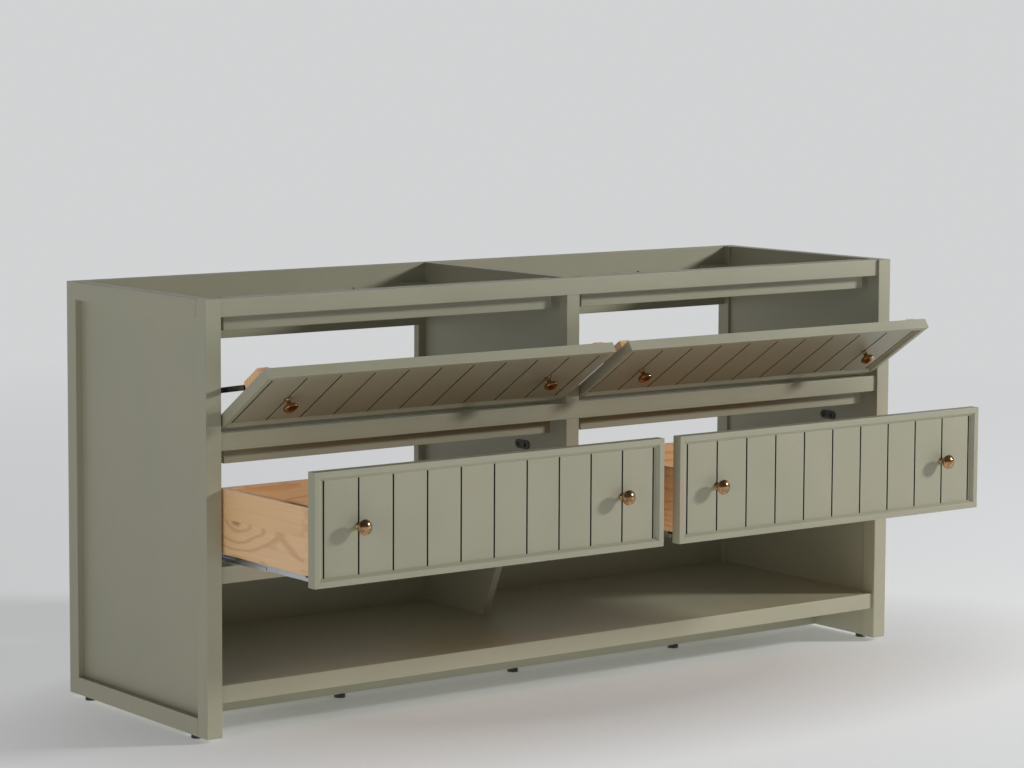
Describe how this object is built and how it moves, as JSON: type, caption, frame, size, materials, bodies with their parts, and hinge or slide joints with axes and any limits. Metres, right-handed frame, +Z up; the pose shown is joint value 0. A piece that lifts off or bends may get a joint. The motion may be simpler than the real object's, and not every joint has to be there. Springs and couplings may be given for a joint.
{
  "type": "bathroom vanity cabinet",
  "caption": "Bathroom vanity cabinet in a painted face frame, with tilt-out false fronts over dovetailed drawers and an open shelf below.",
  "frame": {"origin": "on the floor, at the centre of the cabinet's box with its drawers and tilt fronts open as stored", "axes": "+X along the width from the cabinet's left side to its right side, -Y out of the front, +Z up"},
  "size_m": [1.829, 0.8896, 0.876],
  "materials": {
    "sage_paint": "satin sage green paint on wood",
    "pine": "clear-lacquered knotty pine",
    "brass": "satin aged brass",
    "zinc_steel": "zinc-plated sheet steel",
    "dark_chrome": "dark chrome plate",
    "black_plastic": "fine-textured black plastic",
    "white_nylon": "natural nylon"
  },
  "bodies": {
    "cabinet": {"left_front_post": "sage_paint", "left_back_post": "sage_paint", "left_side_rails": "sage_paint", "left_side_panel": "sage_paint", "right_front_post": "sage_paint", "right_back_post": "sage_paint", "right_side_rails": "sage_paint", "right_side_panel": "sage_paint", "front_top_rail": "sage_paint", "front_mid_rail": "sage_paint", "front_low_rail": "sage_paint", "front_shelf_rail": "sage_paint", "centre_stiles": "sage_paint", "centre_partition": "sage_paint", "shelf": "sage_paint", "shelf_back": "sage_paint", "back_top_board": "sage_paint", "back_centre_stile": "sage_paint", "toe_board": "sage_paint", "stop_strips": "sage_paint", "corner_blocks": "sage_paint", "levelling_feet": "black_plastic", "hole_plates": "black_plastic", "runner_rails": "zinc_steel", "pivot_bushes": "white_nylon", "stay_studs": "dark_chrome"},
    "left_drawer": {"left_drawer_front_frame": "sage_paint", "left_drawer_front_panel": "sage_paint", "left_drawer_sides": "pine", "left_drawer_box_front": "pine", "left_drawer_box_back": "pine", "left_drawer_bottom": "pine", "left_drawer_knobs": "brass", "left_drawer_channels": "zinc_steel", "left_drawer_clips": "black_plastic"},
    "left_runner": {"left_runner_sliders": "zinc_steel"},
    "left_tilt": {"left_tilt_front_frame": "sage_paint", "left_tilt_front_panel": "sage_paint", "left_tilt_knobs": "brass", "left_tilt_pins": "dark_chrome", "left_tilt_blocks": "pine", "left_tilt_brackets": "dark_chrome"},
    "left_stay": {"left_tilt_stay_arms": "dark_chrome"},
    "right_drawer": {"right_drawer_front_frame": "sage_paint", "right_drawer_front_panel": "sage_paint", "right_drawer_sides": "pine", "right_drawer_box_front": "pine", "right_drawer_box_back": "pine", "right_drawer_bottom": "pine", "right_drawer_knobs": "brass", "right_drawer_channels": "zinc_steel", "right_drawer_clips": "black_plastic"},
    "right_runner": {"right_runner_sliders": "zinc_steel"},
    "right_tilt": {"right_tilt_front_frame": "sage_paint", "right_tilt_front_panel": "sage_paint", "right_tilt_knobs": "brass", "right_tilt_pins": "dark_chrome", "right_tilt_blocks": "pine", "right_tilt_brackets": "dark_chrome"},
    "right_stay": {"right_tilt_stay_arms": "dark_chrome"}
  },
  "joints": [
    {"name": "left_drawer_slide", "type": "slide", "parent": "cabinet", "child": "left_drawer", "axis": [0, -1, 0], "range_m": [-0.325, 0.01]},
    {"name": "left_runner_slide", "type": "slide", "parent": "cabinet", "child": "left_runner", "axis": [0, -1, 0], "range_m": [-0.1625, 0.005]},
    {"name": "left_tilt_hinge", "type": "hinge", "parent": "cabinet", "child": "left_tilt", "pos_m": [0, -0.08915, 0.628], "axis": [1, 0, 0], "range_deg": [-56.5, 0]},
    {"name": "left_stay_pivot", "type": "hinge", "parent": "left_tilt", "child": "left_stay", "pos_m": [0, -0.16985, 0.709], "axis": [1, 0, 0], "range_deg": [0, 27.11]},
    {"name": "right_drawer_slide", "type": "slide", "parent": "cabinet", "child": "right_drawer", "axis": [0, -1, 0], "range_m": [-0.325, 0.01]},
    {"name": "right_runner_slide", "type": "slide", "parent": "cabinet", "child": "right_runner", "axis": [0, -1, 0], "range_m": [-0.1625, 0.005]},
    {"name": "right_tilt_hinge", "type": "hinge", "parent": "cabinet", "child": "right_tilt", "pos_m": [0, -0.08915, 0.628], "axis": [1, 0, 0], "range_deg": [-56.5, 0]},
    {"name": "right_stay_pivot", "type": "hinge", "parent": "right_tilt", "child": "right_stay", "pos_m": [0, -0.16985, 0.709], "axis": [1, 0, 0], "range_deg": [0, 27.11]}
  ],
  "couplings": [
    {"joint": "left_runner_slide", "follows": "left_drawer_slide", "ratio": 0.5},
    {"joint": "left_stay_pivot", "follows": "left_tilt_hinge", "ratio": -0.47888},
    {"joint": "right_runner_slide", "follows": "right_drawer_slide", "ratio": 0.5},
    {"joint": "right_stay_pivot", "follows": "right_tilt_hinge", "ratio": -0.47888}
  ]
}
